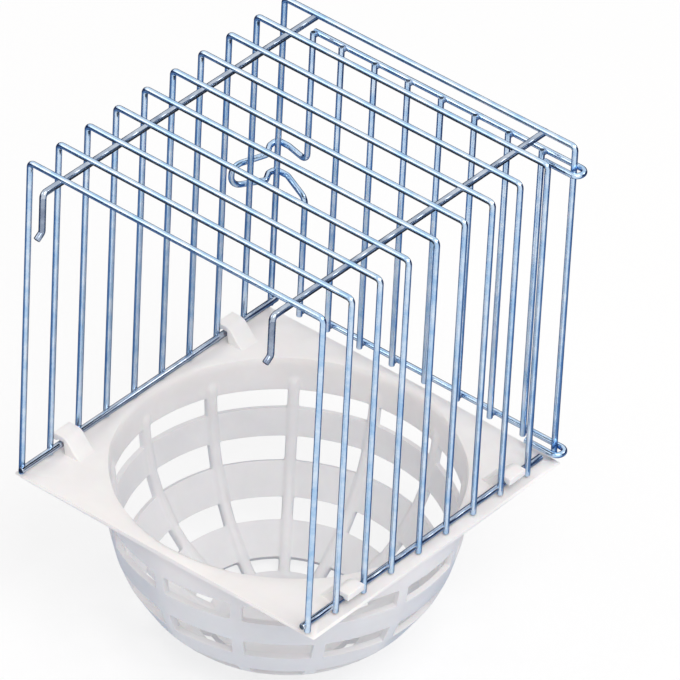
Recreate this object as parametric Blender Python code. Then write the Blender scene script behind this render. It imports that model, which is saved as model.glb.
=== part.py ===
# External canary nest: a wire cage with a rear door, clipped onto a perforated plastic pan.
# Metres, +Z up. -Y is the open front with the hanging hooks, +Y the door, +X the hinge side.
# The origin is the centre of the pan's flat underside.

import math

import bmesh
import bpy
from mathutils import Vector

MM = 0.001

# Cage of bent hoops
HOOP_COUNT = 10
HOOP_PITCH = 12.0 * MM
HOOP_WIDTH = 104.5 * MM  # between the centre lines of a hoop's two legs
HOOP_HEIGHT = 105.1 * MM  # from the bottom rails' centre line to the hoop tops' centre line
HOOP_WIRE = 1.8 * MM
HOOP_BEND = 1.4 * MM  # every bend radius is at the wire's centre line
LEG_TIP = 2.0 * MM  # how far a leg ends below the rail's centre line

# Long wires welded inside the hoops
LONG_WIRE = 2.0 * MM
LONG_WIRE_OVERRUN = 0.4 * MM  # past the seat of the first or last hoop
WELD_SET_DOWN = 1.0 * MM  # how far a hoop and a long wire are pressed into each other
WELD_GAP = 0.2 * MM  # between two wires that are welded where they cross

# Hanging hooks at the front ends of the two top wires
HOOK_INSET = 11.4 * MM  # from a hoop's leg to the hook wire
HOOK_REACH = 7.6 * MM  # in front of the first hoop
HOOK_DROP = 12.9 * MM
HOOK_BEND = 1.4 * MM
HOOK_KICK_OUT = 2.2 * MM  # how far the hook's tip kicks forward
HOOK_KICK_DROP = 1.6 * MM
HOOK_KICK_BEND = 1.2 * MM

# Rear door
DOOR_WIRE = 1.8 * MM
DOOR_BAR_COUNT = 8  # the first of them carries the latch
DOOR_LATCH_MARGIN = 10.6 * MM  # from the latch leg to the latch bar
DOOR_HINGE_MARGIN = 11.5 * MM  # from the hinge leg to the last bar
DOOR_LATCH_SPACING = 10.4 * MM  # from the latch bar to the next bar
DOOR_TOP_DROP = 7.8 * MM  # from the hoop tops to the door's top wire
DOOR_BOTTOM_RISE = 0.4 * MM  # from the rails to the door's bottom wire
DOOR_TIP = 0.3 * MM  # how far a bar or wire pokes past the wire it is welded to
HINGE_CLEARANCE = 0.4 * MM  # between the hinge leg and the loop around it
HINGE_LOOP_REACH = 3.0 * MM  # from the hinge leg to the loop's far end
HINGE_TAIL = 8.7 * MM  # the loop's return leg
DOOR_OPEN = math.radians(225)  # how far the door swings
SEAT_GAP = 0.3 * MM  # between loose pieces that rest on each other

# Latch bent from the first door bar
LATCH_SPREAD = 13.2 * MM  # between the two arms where they leave the bar
LATCH_SAG = 1.5 * MM  # how far the middle of that gap lies below the finger loop
LATCH_CORNER_HEIGHT = 10.3 * MM  # between the two arms behind the corner post
LATCH_LOOP_HEIGHT = 7.0 * MM  # between the two arms at the finger loop
LATCH_BEND = 2.6 * MM
LATCH_CLEARANCE = 0.4 * MM  # between an arm and the corner post
LATCH_CATCH_START = 1.0 * MM  # past the corner post, where an arm starts to kink inward
LATCH_CATCH_RUN = 3.5 * MM
LATCH_CATCH_DEPTH = 2.0 * MM
LATCH_CATCH_BEND = 1.2 * MM
LATCH_LOOP_OUT = 2.6 * MM  # how far the finger loop stands out from the arms
LATCH_LOOP_REACH = 14.5 * MM  # from the corner post to the finger loop's end
LATCH_LOOP_BEND = 3.4 * MM

# Plastic pan
PAN_DEPTH = 56.5 * MM  # from the top of the flange to the flat underside
PAN_WALL = 1.8 * MM
PAN_FLOOR_RADIUS = 19.0 * MM
BOWL_FULLNESS = 2.34  # 2 is an ellipse, a larger number a rounder bowl
FLANGE_SIDE_OVERHANG = 2.6 * MM  # past the centre lines of the cage's legs
FLANGE_END_OVERHANG = 0.3 * MM  # past the centre lines of the first and last hoop
FLANGE_CORNER = 0.6 * MM
RIM_LAND = 2.2 * MM  # narrowest part of the flange, outside the bowl
RIB_COUNT = 13
RIB_WIDTH = 2.9 * MM
RIB_PROUD = 0.9 * MM  # how far a rib stands out from the inner wall
RIB_DRAFT = 0.25 * MM  # width of a rib's sloped flank
RIB_RISE = 3.4 * MM  # how far a rib runs on above the first row of holes
RIB_PHASE = math.radians(17.1)
TOP_BAND = 11.1 * MM  # plain wall above the first row of holes
HOLE_BANDS = (8.7 * MM, 10.4 * MM, 11.2 * MM)  # plain walls between the rows of holes
BOTTOM_BAND = 1.8 * MM  # plain wall below the last row of holes
HOLE_SHARES = (6.1, 7.4, 6.6, 4.7)  # how the rows of holes share the rest of the wall
BAY_STEPS = 3  # flat faces across one hole
BAND_STEPS = 2  # flat faces up one plain band

# Four tongues of the pan that hook over the bottom rails
TONGUE_WIDTH = 7.0 * MM
TONGUE_LENGTH = 10.2 * MM
TONGUE_THICKNESS = 1.6 * MM
TONGUE_REACH = 1.8 * MM  # past the centre lines of the cage's legs
TONGUE_LIP_DROP = 0.6 * MM  # how far the lip at the outer end hangs over the rail
TONGUE_POSITION = 1.55  # hoop pitches from the first or last hoop
TONGUE_ROOT = 0.9 * MM  # how far the tongue is rooted in the flange

WIRE_SIDES = 10
BEND_STEP = math.radians(18)
PROFILE_SAMPLES = 400

# Places worked out from the sizes above
leg_x = HOOP_WIDTH / 2
rear_y = (HOOP_COUNT - 1) * HOOP_PITCH / 2
front_y = -rear_y
flange_z = PAN_DEPTH
rail_z = flange_z + SEAT_GAP + LEG_TIP
hoop_top_z = rail_z + HOOP_HEIGHT
hoop_seat = (HOOP_WIRE - WELD_SET_DOWN - WELD_GAP) / 2  # from the centre line to the flat seat
long_wire_seat = (LONG_WIRE - WELD_SET_DOWN - WELD_GAP) / 2
long_wire_offset = hoop_seat + WELD_GAP + long_wire_seat
rail_x = leg_x - long_wire_offset
hook_x = leg_x - HOOK_INSET
hook_z = hoop_top_z - long_wire_offset
hinge_offset = (HOOP_WIRE + DOOR_WIRE) / 2 + HINGE_CLEARANCE
door_y = rear_y + hinge_offset
door_bar_y = door_y - DOOR_WIRE - WELD_GAP
door_top_z = hoop_top_z - DOOR_TOP_DROP
door_bottom_z = rail_z + DOOR_BOTTOM_RISE
door_tip = DOOR_WIRE / 2 + DOOR_TIP
last_bar_x = leg_x - DOOR_HINGE_MARGIN
latch_bar_x = -leg_x + DOOR_LATCH_MARGIN
second_bar_x = latch_bar_x + DOOR_LATCH_SPACING
door_bar_pitch = (last_bar_x - second_bar_x) / (DOOR_BAR_COUNT - 2)
hinge_tail_y = rear_y - hinge_offset
loop_room = HINGE_LOOP_REACH + DOOR_WIRE / 2 + SEAT_GAP
open_offset = hinge_offset + DOOR_WIRE / 2 + SEAT_GAP
rail_side = rail_x + LONG_WIRE / 2 - leg_x
open_room = (open_offset - rail_side * math.sin(DOOR_OPEN)) / -math.cos(DOOR_OPEN)
rail_short_y = rear_y - max(loop_room, open_room)
long_wire_end = rear_y + HOOP_WIRE / 2 + WELD_GAP + LONG_WIRE_OVERRUN
hoop_places = [front_y + step * HOOP_PITCH for step in range(HOOP_COUNT)]
flange_half_x = leg_x + FLANGE_SIDE_OVERHANG
flange_half_y = rear_y + FLANGE_END_OVERHANG
bowl_radius = min(flange_half_x, flange_half_y) - RIM_LAND - PAN_WALL


def clear_scene():
    for obj in list(bpy.data.objects):
        bpy.data.objects.remove(obj, do_unlink=True)


def principled(name, color, metallic, roughness):
    material = bpy.data.materials.new(name)
    material.use_nodes = True
    shader = material.node_tree.nodes["Principled BSDF"]
    shader.inputs["Base Color"].default_value = (*color, 1.0)
    shader.inputs["Metallic"].default_value = metallic
    shader.inputs["Roughness"].default_value = roughness
    return material


def zinc_plated(name):
    return principled(name + "_zinc", (0.62, 0.72, 0.85), 1.0, 0.25)


def white_plastic(name):
    return principled(name + "_plastic", (0.88, 0.86, 0.85), 0.0, 0.4)


def place_empty(name, location, parent=None):
    empty = bpy.data.objects.new(name, None)
    empty.location = location
    empty.parent = parent
    bpy.context.collection.objects.link(empty)
    return empty


# Points along a wire that is bent at each inner corner, with one bend radius for each
# A bend is made tighter where it would take half or more of the straight beside it
def bent_path(corners, bends):
    points = [Vector(corners[0])]
    for before, corner, after, bend in zip(corners, corners[1:], corners[2:], bends):
        corner = Vector(corner)
        back = Vector(before) - corner
        ahead = Vector(after) - corner
        turn = math.pi - back.angle(ahead)
        room = 0.49 * min(back.length, ahead.length)
        tangent = min(bend * math.tan(turn / 2), room)
        bend = tangent / math.tan(turn / 2)
        back.normalize()
        ahead.normalize()
        centre = corner + (back + ahead).normalized() * (bend / math.cos(turn / 2))
        start = corner + back * tangent - centre
        end = corner + ahead * tangent - centre
        steps = max(2, math.ceil(turn / BEND_STEP))
        for step in range(steps + 1):
            share = step / steps
            arm = math.sin((1 - share) * turn) * start + math.sin(share * turn) * end
            points.append(centre + arm / math.sin(turn))
    points.append(Vector(corners[-1]))
    return points


# The skin of a round wire along some points, with its end caps joined on
def wire_mesh(name, points, diameter):
    curve = bpy.data.curves.new(name, "CURVE")
    curve.dimensions = "3D"
    curve.bevel_depth = diameter / 2
    curve.bevel_resolution = WIRE_SIDES // 2 - 2
    curve.use_fill_caps = True
    spline = curve.splines.new("POLY")
    spline.points.add(len(points) - 1)
    for knot, point in zip(spline.points, points):
        knot.co = (*point, 1.0)
    path = bpy.data.objects.new(name, curve)
    mesh = bpy.data.meshes.new_from_object(path)
    bpy.data.objects.remove(path)
    shape = bmesh.new()
    shape.from_mesh(mesh)
    bmesh.ops.remove_doubles(shape, verts=shape.verts, dist=diameter / 1000)
    bmesh.ops.recalc_face_normals(shape, faces=shape.faces)
    shape.to_mesh(mesh)
    shape.free()
    return mesh


# A round wire along points given in the world frame, carried by an empty
def make_wire(name, points, diameter, carrier, origin):
    mesh = wire_mesh(name, [Vector(point) - Vector(origin) for point in points], diameter)
    mesh.materials.append(zinc_plated(name))
    wire = bpy.data.objects.new(name, mesh)
    wire.parent = carrier
    bpy.context.collection.objects.link(wire)
    return wire


# Cuts a wire flat where welded wires are pressed into it, in boxes given by two far corners
def press_seats(wire, boxes, carrier, origin):
    mesh = bpy.data.meshes.new(wire.name + "_seats")
    shape = bmesh.new()
    for start, end in boxes:
        low = Vector(map(min, start, end)) - Vector(origin)
        size = Vector(map(max, start, end)) - Vector(origin) - low
        cube = bmesh.ops.create_cube(shape, size=1.0)
        bmesh.ops.translate(shape, verts=cube["verts"], vec=(0.5, 0.5, 0.5))
        bmesh.ops.scale(shape, verts=cube["verts"], vec=size)
        bmesh.ops.translate(shape, verts=cube["verts"], vec=low)
    shape.to_mesh(mesh)
    shape.free()
    cutter = bpy.data.objects.new(mesh.name, mesh)
    cutter.parent = carrier
    cutter.hide_render = True
    cutter.display_type = "WIRE"
    bpy.context.collection.objects.link(cutter)
    press = wire.modifiers.new("press", "BOOLEAN")
    press.operation = "DIFFERENCE"
    press.solver = "EXACT"
    press.object = cutter


# The rail on the hinge side stops short of the turning hinge loop and the opened door
def rail_end(side):
    return rail_short_y if side > 0 else long_wire_end


# Seats of a hoop: under its top for the hook wires, and inside its legs for the rails that reach it
def hoop_seats(y):
    half = LONG_WIRE / 2 + WELD_GAP
    front = y - HOOP_WIRE
    back = y + HOOP_WIRE
    boxes = []
    for side in (-1, 1):
        x = side * hook_x
        boxes.append(((x - half, front, hoop_top_z - HOOP_WIRE), (x + half, back, hoop_top_z - hoop_seat)))
        if y < rail_end(side):
            inside = side * (leg_x - HOOP_WIRE)
            seat = side * (leg_x - hoop_seat)
            boxes.append(((inside, front, rail_z - half), (seat, back, rail_z + half)))
    return boxes


def make_hoop(number, carrier, origin):
    y = hoop_places[number - 1]
    foot_z = rail_z - LEG_TIP
    corners = [
        (-leg_x, y, foot_z),
        (-leg_x, y, hoop_top_z),
        (leg_x, y, hoop_top_z),
        (leg_x, y, foot_z),
    ]
    path = bent_path(corners, [HOOP_BEND, HOOP_BEND])
    hoop = make_wire(f"hoop_{number:02d}", path, HOOP_WIRE, carrier, origin)
    press_seats(hoop, hoop_seats(y), carrier, origin)


def make_hook_wire(name, side, carrier, origin):
    x = side * hook_x
    hook_y = front_y - HOOK_REACH
    tip_z = hook_z - HOOK_DROP
    corners = [
        (x, long_wire_end, hook_z),
        (x, hook_y, hook_z),
        (x, hook_y, tip_z),
        (x, hook_y - HOOK_KICK_OUT, tip_z - HOOK_KICK_DROP),
    ]
    path = bent_path(corners, [HOOK_BEND, HOOK_KICK_BEND])
    wire = make_wire(name, path, LONG_WIRE, carrier, origin)
    half = HOOP_WIRE / 2 + WELD_GAP
    seat_z = hook_z + long_wire_seat
    top_z = hook_z + LONG_WIRE
    seats = [((x - LONG_WIRE, y - half, seat_z), (x + LONG_WIRE, y + half, top_z)) for y in hoop_places]
    press_seats(wire, seats, carrier, origin)


def make_bottom_rail(name, side, carrier, origin):
    x = side * rail_x
    ends = [(x, -long_wire_end, rail_z), (x, rail_end(side), rail_z)]
    rail = make_wire(name, ends, LONG_WIRE, carrier, origin)
    half = HOOP_WIRE / 2 + WELD_GAP
    seat_x = side * (rail_x + long_wire_seat)
    far_x = side * (rail_x + LONG_WIRE)
    low = rail_z - LONG_WIRE
    high = rail_z + LONG_WIRE
    welded = [y for y in hoop_places if y < rail_end(side)]
    press_seats(rail, [((seat_x, y - half, low), (far_x, y + half, high)) for y in welded], carrier, origin)


# A cross wire of the door, ending in a hairpin loop around the hinge leg
def make_door_cross_wire(name, z, carrier, origin):
    loop_x = leg_x + HINGE_LOOP_REACH
    corners = [
        (latch_bar_x - door_tip, door_y, z),
        (loop_x, door_y, z),
        (loop_x, hinge_tail_y, z),
        (leg_x - HINGE_TAIL, hinge_tail_y, z),
    ]
    path = bent_path(corners, [hinge_offset, hinge_offset])
    return make_wire(name, path, DOOR_WIRE, carrier, origin)


def make_door_bar(number, carrier, origin):
    x = second_bar_x + (number - 2) * door_bar_pitch
    ends = [
        (x, door_bar_y, door_bottom_z - door_tip),
        (x, door_bar_y, door_top_z + door_tip),
    ]
    return make_wire(f"door_bar_{number}", ends, DOOR_WIRE, carrier, origin)


# The first door bar, bent into a hairpin that reaches round the corner post to a finger loop
def make_latch_wire(name, carrier, origin):
    middle_z = (door_top_z + door_bottom_z) / 2
    post_offset = (HOOP_WIRE + DOOR_WIRE) / 2 + LATCH_CLEARANCE
    arm_x = -leg_x - post_offset
    arm_y = rear_y + post_offset
    catch_y = rear_y - LATCH_CATCH_START - LATCH_CATCH_RUN
    loop_y = rear_y - LATCH_LOOP_REACH

    def half_height(y):
        share = (arm_y - y) / (arm_y - loop_y)
        return (LATCH_CORNER_HEIGHT + share * (LATCH_LOOP_HEIGHT - LATCH_CORNER_HEIGHT)) / 2

    def arm_corners(side):
        bar_z = middle_z - LATCH_SAG + side * LATCH_SPREAD / 2
        places = [
            (-leg_x + post_offset, arm_y),
            (arm_x, arm_y),
            (arm_x, rear_y - LATCH_CATCH_START),
            (arm_x + LATCH_CATCH_DEPTH, catch_y),
            (arm_x - LATCH_LOOP_OUT, loop_y),
        ]
        corners = [(x, y, middle_z + side * half_height(y)) for x, y in places]
        return [(latch_bar_x, door_bar_y, bar_z), *corners]

    bends = [LATCH_BEND, LATCH_BEND, post_offset, LATCH_CATCH_BEND, LATCH_CATCH_BEND, LATCH_LOOP_BEND]
    top = (latch_bar_x, door_bar_y, door_top_z + door_tip)
    bottom = (latch_bar_x, door_bar_y, door_bottom_z - door_tip)
    corners = [top, *arm_corners(1), *reversed(arm_corners(-1)), bottom]
    path = bent_path(corners, bends + bends[::-1])
    return make_wire(name, path, DOOR_WIRE, carrier, origin)


# Heights of the rows of faces from the rim down the inner wall, and which of them are holes
def wall_rows(wall_length):
    plain = TOP_BAND + sum(HOLE_BANDS) + BOTTOM_BAND
    share = (wall_length - plain) / sum(HOLE_SHARES)
    rows = [(TOP_BAND - RIB_RISE - RIB_DRAFT, False), (RIB_DRAFT, False), (RIB_RISE, False)]
    for hole, band in zip(HOLE_SHARES, HOLE_BANDS):
        rows.append((hole * share, True))
        rows += [(band / BAND_STEPS, False)] * BAND_STEPS
    rows += [(HOLE_SHARES[-1] * share, True), (BOTTOM_BAND, False)]
    return rows


# Radius and height of the bowl's outer wall at each end of each row, from the rim to the floor
def bowl_profile():
    depth = PAN_DEPTH - PAN_WALL
    power = 2 / BOWL_FULLNESS
    floor_angle = math.acos((PAN_FLOOR_RADIUS / bowl_radius) ** (1 / power))
    semi_depth = depth / math.sin(floor_angle) ** power

    def inner(angle):
        return bowl_radius * math.cos(angle) ** power, flange_z - semi_depth * math.sin(angle) ** power

    angles = [floor_angle * i / PROFILE_SAMPLES for i in range(PROFILE_SAMPLES + 1)]
    wall = [Vector(inner(angle)) for angle in angles]
    lengths = [0.0]
    for above, below in zip(wall, wall[1:]):
        lengths.append(lengths[-1] + (below - above).length)
    rows = wall_rows(lengths[-1])
    stations = [(bowl_radius + PAN_WALL, flange_z - PAN_WALL)]
    stop = 0.0
    for height, _ in rows[:-1]:
        stop += height
        sample = min(range(1, PROFILE_SAMPLES), key=lambda i: abs(lengths[i] - stop))
        along = (wall[sample + 1] - wall[sample - 1]).normalized()
        outside = wall[sample] + Vector((-along.y, along.x)) * PAN_WALL
        stations.append((outside.x, outside.y))
    along = (wall[-1] - wall[-2]).normalized()
    corner = PAN_WALL * (1 + along.x) / -along.y
    stations.append((PAN_FLOOR_RADIUS + corner, 0.0))
    return stations, [is_hole for _, is_hole in rows]


# Directions of the bowl's columns of faces at one radius: four lines to a rib, then the hole beside it
def column_angles(radius):
    rib_half = RIB_WIDTH / 2 / radius
    flank = rib_half + RIB_DRAFT / radius
    pitch = 2 * math.pi / RIB_COUNT
    bay = pitch - 2 * flank
    angles = []
    for rib in range(RIB_COUNT):
        middle = RIB_PHASE + rib * pitch
        angles += [middle - flank, middle - rib_half, middle + rib_half, middle + flank]
        angles += [middle + flank + bay * step / BAY_STEPS for step in range(1, BAY_STEPS)]
    return angles


# Where a ray from the bowl's axis leaves the flange's rounded rectangle
def flange_edge(angle):
    along = Vector((math.cos(angle), math.sin(angle)))
    reach = min(flange_half_x / max(abs(along.x), 1e-9), flange_half_y / max(abs(along.y), 1e-9))
    hit = along * reach
    centre = Vector((flange_half_x - FLANGE_CORNER, flange_half_y - FLANGE_CORNER))
    ray = Vector((abs(along.x), abs(along.y)))
    if abs(hit.x) > centre.x and abs(hit.y) > centre.y:
        middle = ray.dot(centre)
        reach = middle + math.sqrt(middle**2 - centre.length_squared + FLANGE_CORNER**2)
        hit = along * reach
    return hit


# Directions of the flange's outer points: the columns, with three of them moved to round each corner
def flange_angles(columns):
    angles = list(columns)
    for side_x, side_y in ((1, 1), (-1, 1), (-1, -1), (1, -1)):
        x = side_x * flange_half_x
        y = side_y * flange_half_y
        turn = [
            math.atan2(y - side_y * FLANGE_CORNER, x),
            math.atan2(y, x),
            math.atan2(y, x - side_x * FLANGE_CORNER),
        ]
        if side_x != side_y:
            turn.reverse()
        gaps = [abs(math.remainder(column - turn[1], 2 * math.pi)) for column in columns]
        nearest = gaps.index(min(gaps))
        for step, angle in enumerate(turn):
            angles[(nearest + step - 1) % len(columns)] = angle
    return angles


# The outer skin of bowl and flange, with the holes left out and the ribs' points in a group
def pan_skin(name):
    mesh = bpy.data.meshes.new(name)
    shape = bmesh.new()
    group = shape.verts.layers.deform.verify()
    stations, hole_rows = bowl_profile()
    columns = column_angles(bowl_radius)
    column_count = len(columns)
    per_rib = column_count // RIB_COUNT
    rings = []
    edge = [flange_edge(angle) for angle in flange_angles(columns)]
    rings.append([shape.verts.new((point.x, point.y, flange_z - PAN_WALL)) for point in edge])
    for station, (radius, z) in enumerate(stations):
        on_rib = 1 < station < len(stations) - 1
        ring = []
        for index, angle in enumerate(column_angles(radius)):
            vert = shape.verts.new((radius * math.cos(angle), radius * math.sin(angle), z))
            vert[group][0] = 1.0 if on_rib and index % per_rib in (1, 2) else 0.0
            ring.append(vert)
        rings.append(ring)
    for outer, inner, is_hole in zip(rings, rings[1:], [False, *hole_rows]):
        for index in range(column_count):
            if is_hole and index % per_rib > 2:
                continue
            after = (index + 1) % column_count
            shape.faces.new((outer[index], outer[after], inner[after], inner[index]))
    shape.faces.new(rings[-1])
    bmesh.ops.recalc_face_normals(shape, faces=shape.faces)
    if shape.faces[-1].normal.z < 0:
        bmesh.ops.reverse_faces(shape, faces=shape.faces)
    shape.to_mesh(mesh)
    shape.free()
    return mesh


# One tongue: a ramp on the flange that carries a hook over the rail, drawn in X and Z and extruded in Y
def add_tongue(shape, side, y):
    under_z = rail_z + LONG_WIRE / 2 + SEAT_GAP
    top_z = under_z + TONGUE_THICKNESS
    post_x = rail_x - LONG_WIRE / 2 - SEAT_GAP
    lip_x = rail_x + LONG_WIRE / 2 + SEAT_GAP
    tip_x = leg_x + TONGUE_REACH
    root_x = tip_x - TONGUE_LENGTH
    root_z = flange_z - TONGUE_ROOT
    outline = [
        (root_x, root_z),
        (root_x, flange_z),
        ((root_x + post_x) / 2, flange_z + (top_z - flange_z) * 0.62),
        (post_x - TONGUE_THICKNESS / 2, top_z),
        (tip_x - TONGUE_THICKNESS / 2, top_z),
        (tip_x, top_z - TONGUE_THICKNESS / 2),
        (tip_x, under_z - TONGUE_LIP_DROP),
        (lip_x, under_z - TONGUE_LIP_DROP),
        (lip_x, under_z),
        (post_x, under_z),
        (post_x, root_z),
    ]
    start = y - TONGUE_WIDTH / 2
    face = shape.faces.new([shape.verts.new((side * x, start, z)) for x, z in outline])
    grown = bmesh.ops.extrude_face_region(shape, geom=[face])
    moved = [item for item in grown["geom"] if isinstance(item, bmesh.types.BMVert)]
    bmesh.ops.translate(shape, verts=moved, vec=(0.0, TONGUE_WIDTH, 0.0))


def tongue_shapes(name):
    mesh = bpy.data.meshes.new(name)
    shape = bmesh.new()
    place_y = rear_y - TONGUE_POSITION * HOOP_PITCH
    for side in (-1, 1):
        for y in (-place_y, place_y):
            add_tongue(shape, side, y)
    bmesh.ops.recalc_face_normals(shape, faces=shape.faces)
    shape.to_mesh(mesh)
    shape.free()
    tongues = bpy.data.objects.new(name, mesh)
    tongues.hide_render = True
    tongues.display_type = "WIRE"
    bpy.context.collection.objects.link(tongues)
    return tongues


def make_pan(name, carrier):
    pan = bpy.data.objects.new(name, pan_skin(name))
    pan.parent = carrier
    bpy.context.collection.objects.link(pan)
    pan.data.materials.append(white_plastic(name))
    ribs = pan.vertex_groups.new(name="ribs")
    wall = pan.modifiers.new("wall", "SOLIDIFY")
    wall.thickness = PAN_WALL + RIB_PROUD
    wall.offset = 1.0
    wall.use_even_offset = True
    wall.vertex_group = ribs.name
    wall.thickness_vertex_group = PAN_WALL / (PAN_WALL + RIB_PROUD)
    join = pan.modifiers.new("tongues", "BOOLEAN")
    join.operation = "UNION"
    join.solver = "EXACT"
    join.object = tongue_shapes("tongue_shapes")
    return pan


def build():
    clear_scene()
    pan_seat = place_empty("pan_seat", (0.0, 0.0, 0.0))
    make_pan("nest_pan", pan_seat)

    cage_place = (0.0, 0.0, rail_z)
    cage = place_empty("cage_lift_axis", cage_place, pan_seat)
    for number in range(1, HOOP_COUNT + 1):
        make_hoop(number, cage, cage_place)
    for side_name, side in (("left", -1), ("right", 1)):
        make_hook_wire(side_name + "_hook_wire", side, cage, cage_place)
        make_bottom_rail(side_name + "_bottom_rail", side, cage, cage_place)

    hinge_place = (leg_x, rear_y, door_bottom_z)
    hinge = place_empty("door_hinge_axis", Vector(hinge_place) - Vector(cage_place), cage)
    make_door_cross_wire("door_top_wire", door_top_z, hinge, hinge_place)
    make_door_cross_wire("door_bottom_wire", door_bottom_z, hinge, hinge_place)
    make_latch_wire("door_latch_wire", hinge, hinge_place)
    for number in range(2, DOOR_BAR_COUNT + 1):
        make_door_bar(number, hinge, hinge_place)


build()
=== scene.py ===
# External bird nest: a bright wire cage with a rear door, clipped onto a white basket pan
import math

import bmesh
import bpy
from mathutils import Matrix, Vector


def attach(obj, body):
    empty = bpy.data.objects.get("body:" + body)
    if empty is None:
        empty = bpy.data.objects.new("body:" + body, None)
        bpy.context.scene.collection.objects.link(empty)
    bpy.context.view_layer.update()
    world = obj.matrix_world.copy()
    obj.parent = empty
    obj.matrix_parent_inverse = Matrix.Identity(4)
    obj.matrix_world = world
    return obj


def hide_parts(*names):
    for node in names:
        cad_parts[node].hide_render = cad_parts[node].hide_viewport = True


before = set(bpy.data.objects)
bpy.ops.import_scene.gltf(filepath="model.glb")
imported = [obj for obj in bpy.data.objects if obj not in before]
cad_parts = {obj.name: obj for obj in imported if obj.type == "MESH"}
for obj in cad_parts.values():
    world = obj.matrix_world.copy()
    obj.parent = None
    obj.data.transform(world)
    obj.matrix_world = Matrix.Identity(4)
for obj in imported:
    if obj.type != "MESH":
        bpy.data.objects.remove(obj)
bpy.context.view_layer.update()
mm = 0.001
print("frame loaded:", len(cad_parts), "nodes")


# camera: a long lens from the front right, a little rolled
photoCamera = {
    "place": (1.27054, -1.60403, 1.63206),
    "turn": (53.162, -2.418, 39.840),
    "lens": 486.74,
    "clipEnd": 40,
}
bpy.ops.object.camera_add(
    location=photoCamera["place"], rotation=[math.radians(a) for a in photoCamera["turn"]]
)
camera = bpy.context.object
camera.data.lens = photoCamera["lens"]
camera.data.clip_end = photoCamera["clipEnd"]
bpy.context.scene.camera = camera
bpy.context.scene.view_settings.view_transform = "Standard"


def toLinear(hexColor):
    channels = [int(hexColor[i : i + 2], 16) / 255 for i in (1, 3, 5)]
    return [c / 12.92 if c <= 0.04045 else ((c + 0.055) / 1.055) ** 2.4 for c in channels] + [1.0]


# adds a node; settings are its sockets or its own properties, links are sockets fed by other nodes
def addNode(tree, kind, settings, links):
    node = tree.nodes.new(kind)
    for key, value in settings.items():
        if key in node.inputs:
            node.inputs[key].default_value = value
        else:
            setattr(node, key, value)
    for key, source in links.items():
        tree.links.new(source, node.inputs[key])
    return node


# Bright zinc-plated drawn steel wire with a blue passivate: a cool, fairly sharp mirror that goes
# dark blue at the edges, with cloudy tints a few millimetres long and faint drawing marks
zincWire = {
    "colors": ("#A6C9EC", "#DAE9F8"),
    "edge": "#1F4580",
    "roughness": (0.1, 0.24),
    "cloud": 5.0,  # mm, passivate tints
    "cloudRange": (0.32, 0.68),
    "marks": 0.5,  # mm, drawing marks, drawn coarser than the real 0.05 mm so that they show
    "marksRange": (0.3, 0.7),
    "marksStrength": 0.35,
    "waves": 9.0,  # mm, slow unevenness of straightened wire
    "wavesStrength": 0.5,
    "wavesHeight": 6,  # times the height of the marks
}


def makeZinc(name, colors, edge, roughness, bumpHeight):
    material = bpy.data.materials.new(name)
    material.use_nodes = True
    tree = material.node_tree
    shader = tree.nodes["Principled BSDF"]
    shader.inputs["Metallic"].default_value = 1.0
    shader.inputs["Specular Tint"].default_value = toLinear(edge)
    place = addNode(tree, "ShaderNodeTexCoord", {}, {})
    cloud = addNode(
        tree,
        "ShaderNodeTexNoise",
        {"Scale": 1 / (zincWire["cloud"] * mm), "Detail": 3.0, "Roughness": 0.55},
        {"Vector": place.outputs["Object"]},
    )
    tint = addNode(tree, "ShaderNodeValToRGB", {}, {"Fac": cloud.outputs["Fac"]})
    for stop, position, color in zip(tint.color_ramp.elements, zincWire["cloudRange"], colors):
        stop.position = position
        stop.color = toLinear(color)
    tree.links.new(tint.outputs["Color"], shader.inputs["Base Color"])
    marks = addNode(
        tree,
        "ShaderNodeTexNoise",
        {"Scale": 1 / (zincWire["marks"] * mm), "Detail": 2.0},
        {"Vector": place.outputs["Object"]},
    )
    low, high = zincWire["marksRange"]
    gloss = addNode(
        tree,
        "ShaderNodeMapRange",
        {"From Min": low, "From Max": high, "To Min": roughness[0], "To Max": roughness[1]},
        {"Value": marks.outputs["Fac"]},
    )
    tree.links.new(gloss.outputs["Result"], shader.inputs["Roughness"])
    waves = addNode(
        tree,
        "ShaderNodeTexNoise",
        {"Scale": 1 / (zincWire["waves"] * mm), "Detail": 1.0},
        {"Vector": place.outputs["Object"]},
    )
    slow = addNode(
        tree,
        "ShaderNodeBump",
        {"Strength": zincWire["wavesStrength"], "Distance": bumpHeight * zincWire["wavesHeight"]},
        {"Height": waves.outputs["Fac"]},
    )
    fine = addNode(
        tree,
        "ShaderNodeBump",
        {"Strength": zincWire["marksStrength"], "Distance": bumpHeight},
        {"Height": marks.outputs["Fac"], "Normal": slow.outputs["Normal"]},
    )
    tree.links.new(fine.outputs["Normal"], shader.inputs["Normal"])
    return material


brightZinc = makeZinc(
    "bright_zinc_wire", zincWire["colors"], zincWire["edge"], zincWire["roughness"], 0.05 * mm
)
# The thicker long wires get the same mirror in a greyer, darker copy: painted shade
shadedLongZinc = makeZinc(
    "grey_zinc_long_wire_painted_shade", ("#9AA8BC", "#CDD6E2"), "#3A4E70", (0.08, 0.18), 0.05 * mm
)
# Spot welds: the plating is burnt off to a dull, darker grey blue
weldZinc = makeZinc("spot_weld_zinc", ("#6C80A0", "#98ACC8"), "#3A5078", (0.36, 0.52), 0.12 * mm)
# The hooks' drops: painted shade, the zinc in a darker, duller grey
hookShadeZinc = makeZinc("hook_zinc_painted_shade", ("#6E7A92", "#A8B4C6"), "#1E2A42", (0.16, 0.32), 0.08 * mm)
# Sheared wire ends: bare steel, dark and rough
cutSteel = makeZinc("cut_steel_end", ("#3C4452", "#667284"), "#2A3444", (0.38, 0.54), 0.1 * mm)
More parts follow.
